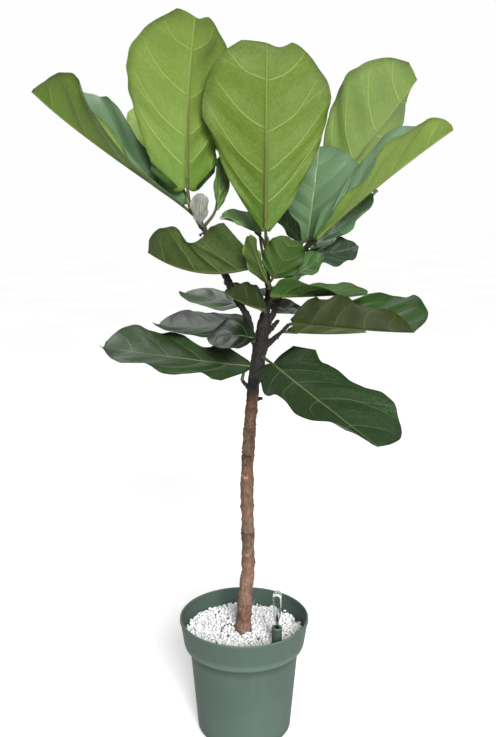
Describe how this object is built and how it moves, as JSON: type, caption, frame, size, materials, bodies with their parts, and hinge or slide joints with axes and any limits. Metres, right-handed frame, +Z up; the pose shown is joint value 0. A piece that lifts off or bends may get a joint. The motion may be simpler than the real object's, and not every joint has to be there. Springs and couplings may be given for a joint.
{
  "type": "potted fiddle leaf fig",
  "caption": "Young fiddle leaf fig with a bare stem, forked shoots and large waved leaves, standing in white gravel in a plain green nursery pot with a water gauge.",
  "frame": {"origin": "centre of the pot's underside, on the surface it stands on", "axes": "+Z up along the stem; the view from the front is along +Y with +X to the right"},
  "size_m": [0.6763, 0.5575, 1.1694],
  "materials": {
    "pot_plastic": "moulded sage green plastic with a soft sheen",
    "growing_medium": "damp brown mineral growing medium",
    "white_gravel": "dry white angular chips",
    "bark": "grey-brown bark with leaf scars, darker on the young shoots",
    "leaf": "leathery green leaf, glossy above, with pale raised veins",
    "papery_sheath": "dry papery bud sheath",
    "clear_plastic": "clear moulded plastic",
    "dark_plastic": "dark plastic rod"
  },
  "bodies": {
    "root": {"pot": "pot_plastic", "growing_medium": "growing_medium", "white_gravel": "white_gravel", "stem_and_shoots": "bark", "gauge_sleeve": "pot_plastic", "gauge_window": "clear_plastic", "gauge_float": "dark_plastic", "shoot_sheath": "papery_sheath", "leaf_left_outer": "leaf", "leaf_left_upright": "leaf", "leaf_left_rear": "leaf", "leaf_left_slim": "leaf", "leaf_front_upright": "leaf", "leaf_rear_small": "leaf", "leaf_rear_dark": "leaf", "leaf_right_upright": "leaf", "leaf_right_outer": "leaf", "leaf_right_pale": "leaf", "leaf_right_teal": "leaf", "leaf_right_grey": "leaf", "leaf_left_middle": "leaf", "leaf_front_cup": "leaf", "leaf_front_folded": "leaf", "leaf_front_glossy": "leaf", "leaf_right_thin": "leaf", "leaf_inner_left": "leaf", "leaf_inner_right": "leaf", "leaf_right_middle": "leaf", "leaf_right_under": "leaf", "leaf_right_lower": "leaf", "leaf_left_lower": "leaf", "leaf_left_grey": "leaf", "leaf_left_thin": "leaf", "leaf_left_inner": "leaf", "leaf_back_upright": "leaf", "leaf_back_middle": "leaf"}
  },
  "joints": []
}
